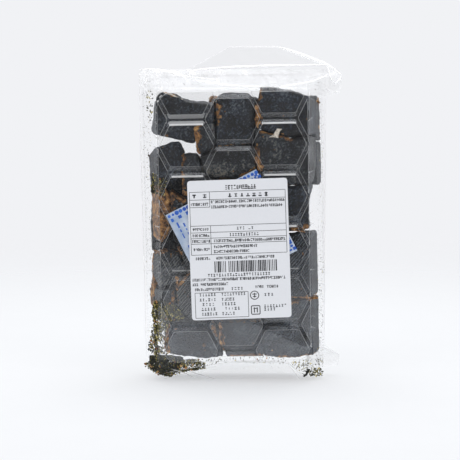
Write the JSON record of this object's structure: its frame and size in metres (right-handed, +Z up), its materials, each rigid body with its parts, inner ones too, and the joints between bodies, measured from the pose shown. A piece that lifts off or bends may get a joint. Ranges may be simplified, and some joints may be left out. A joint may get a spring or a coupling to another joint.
{
  "type": "rice cracker pack",
  "caption": "Clear sealed pack of seaweed-wrapped rice crackers in a shallow tray, folded shut at both ends, with a paper label; it stands on one end.",
  "frame": {"origin": "middle of the underside of the whole pack's box, on the surface that it stands on", "axes": "+Z up along the pack's length, -Y out of the front with the label, +X to the right seen from the front"},
  "size_m": [0.122, 0.0352, 0.199],
  "materials": {
    "clear_film": "gloss",
    "label_paper": "satin",
    "clear_tray": "gloss",
    "dried_seaweed": "satin",
    "toasted_rice": "matte",
    "sachet_film": "satin",
    "label_print": "matte"
  },
  "bodies": {
    "root": {"film_pack": "clear_film", "label": "label_paper"}
  },
  "joints": []
}
